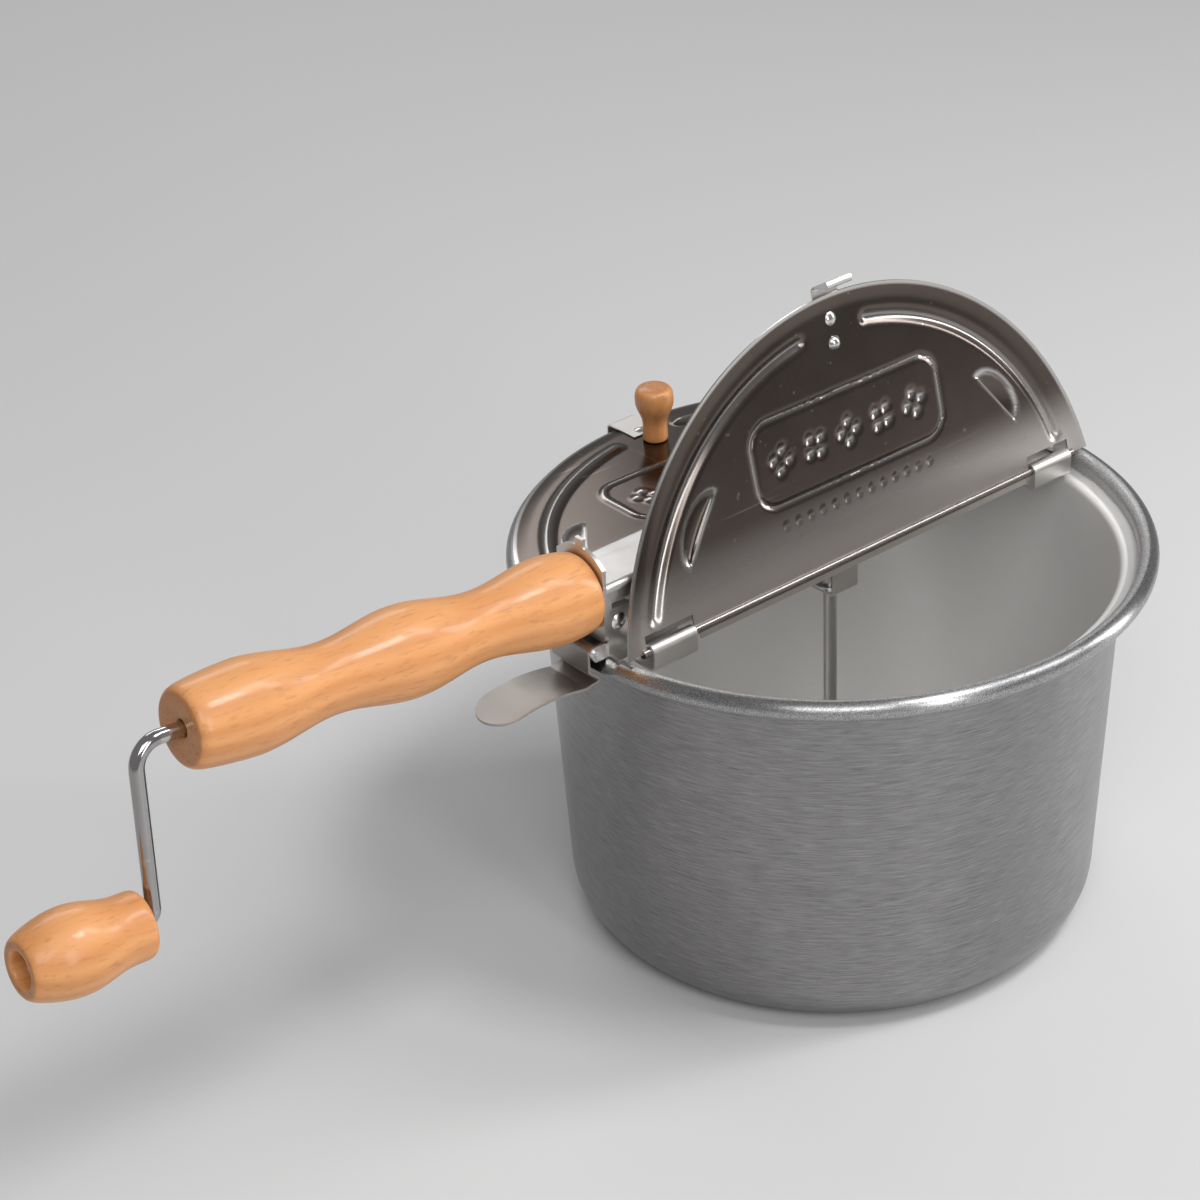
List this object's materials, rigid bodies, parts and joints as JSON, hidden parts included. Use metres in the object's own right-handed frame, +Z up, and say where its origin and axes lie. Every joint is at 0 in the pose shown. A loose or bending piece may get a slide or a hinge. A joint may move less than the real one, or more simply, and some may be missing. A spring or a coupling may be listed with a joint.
{
  "type": "stovetop popcorn popper",
  "caption": "Stovetop popcorn popper: spun pan, crossbar with bevel-geared hand crank and stirrer, two hinged half lids, one open, and a rim latch.",
  "frame": {"origin": "centre of the pan's flat base", "axes": "+Z up, +X along the crossbar away from the handle, -Y towards the open lid"},
  "size_m": [0.4753, 0.2446, 0.2581],
  "materials": {
    "pan_aluminium": "brushed satin",
    "bar_steel": "bright plated",
    "rivet_steel": "bright",
    "grip_wood": "clear varnish",
    "knob_wood": "clear varnish",
    "screw_steel": "bright",
    "latch_steel": "bright",
    "rod_steel": "bright plated",
    "gear_steel": "satin",
    "lid_steel": "bright tinplate"
  },
  "bodies": {
    "frame_body": {"pan": "pan_aluminium", "pan_floor": "pan_aluminium", "crossbar": "bar_steel", "handle_plate": "bar_steel", "plate_rivets": "rivet_steel", "handle_grip": "grip_wood", "handle_screws": "screw_steel", "gear_bracket": "bar_steel", "bracket_rivets": "rivet_steel", "thrust_washer": "screw_steel", "latch_pin": "screw_steel"},
    "latch_body": {"rim_latch": "latch_steel"},
    "front_lid_body": {"front_lid": "lid_steel", "front_lid_knob": "knob_wood", "front_knob_screw": "screw_steel", "front_lid_clip": "lid_steel", "front_clip_rivet": "rivet_steel"},
    "rear_lid_body": {"rear_lid": "lid_steel", "rear_lid_knob": "knob_wood", "rear_knob_screw": "screw_steel", "rear_lid_clip": "lid_steel", "rear_clip_rivet": "rivet_steel"},
    "crank_body": {"crank_rod": "rod_steel", "crank_gear": "gear_steel", "rod_end_clip": "screw_steel", "knob_retainer": "screw_steel"},
    "knob_body": {"crank_knob": "grip_wood"},
    "stirrer_body": {"stir_rod": "rod_steel", "stir_gear": "gear_steel", "stir_wire_lower": "rod_steel", "stir_wire_upper": "rod_steel"}
  },
  "joints": [
    {"name": "crank_turn", "type": "hinge", "parent": "frame_body", "child": "crank_body", "pos_m": [0, 0, 0.1657], "axis": [0.9957, 0, -0.0924], "continuous": true},
    {"name": "knob_spin", "type": "hinge", "parent": "crank_body", "child": "knob_body", "pos_m": [-0.32417, -0.008, 0.13555], "axis": [0.9957, 0, -0.0924], "continuous": true},
    {"name": "stir_turn", "type": "hinge", "parent": "frame_body", "child": "stirrer_body", "pos_m": [0, 0, 0.1], "axis": [0, 0, 1], "continuous": true},
    {"name": "front_lid_swing", "type": "hinge", "parent": "frame_body", "child": "front_lid_body", "pos_m": [0, -0.0203, 0.1552], "axis": [1, 0, 0], "range_deg": [0, 103.3]},
    {"name": "rear_lid_swing", "type": "hinge", "parent": "frame_body", "child": "rear_lid_body", "pos_m": [0, 0.0203, 0.1552], "axis": [1, 0, 0], "range_deg": [0, 70]},
    {"name": "latch_press", "type": "hinge", "parent": "frame_body", "child": "latch_body", "pos_m": [-0.1224, 0, 0.15753], "axis": [0, 1, 0], "range_deg": [0, 20], "stiffness_Nm_per_rad": 0.3, "springref_deg": -5.73}
  ],
  "couplings": [
    {"joint": "stir_turn", "follows": "crank_turn", "ratio": 1}
  ]
}
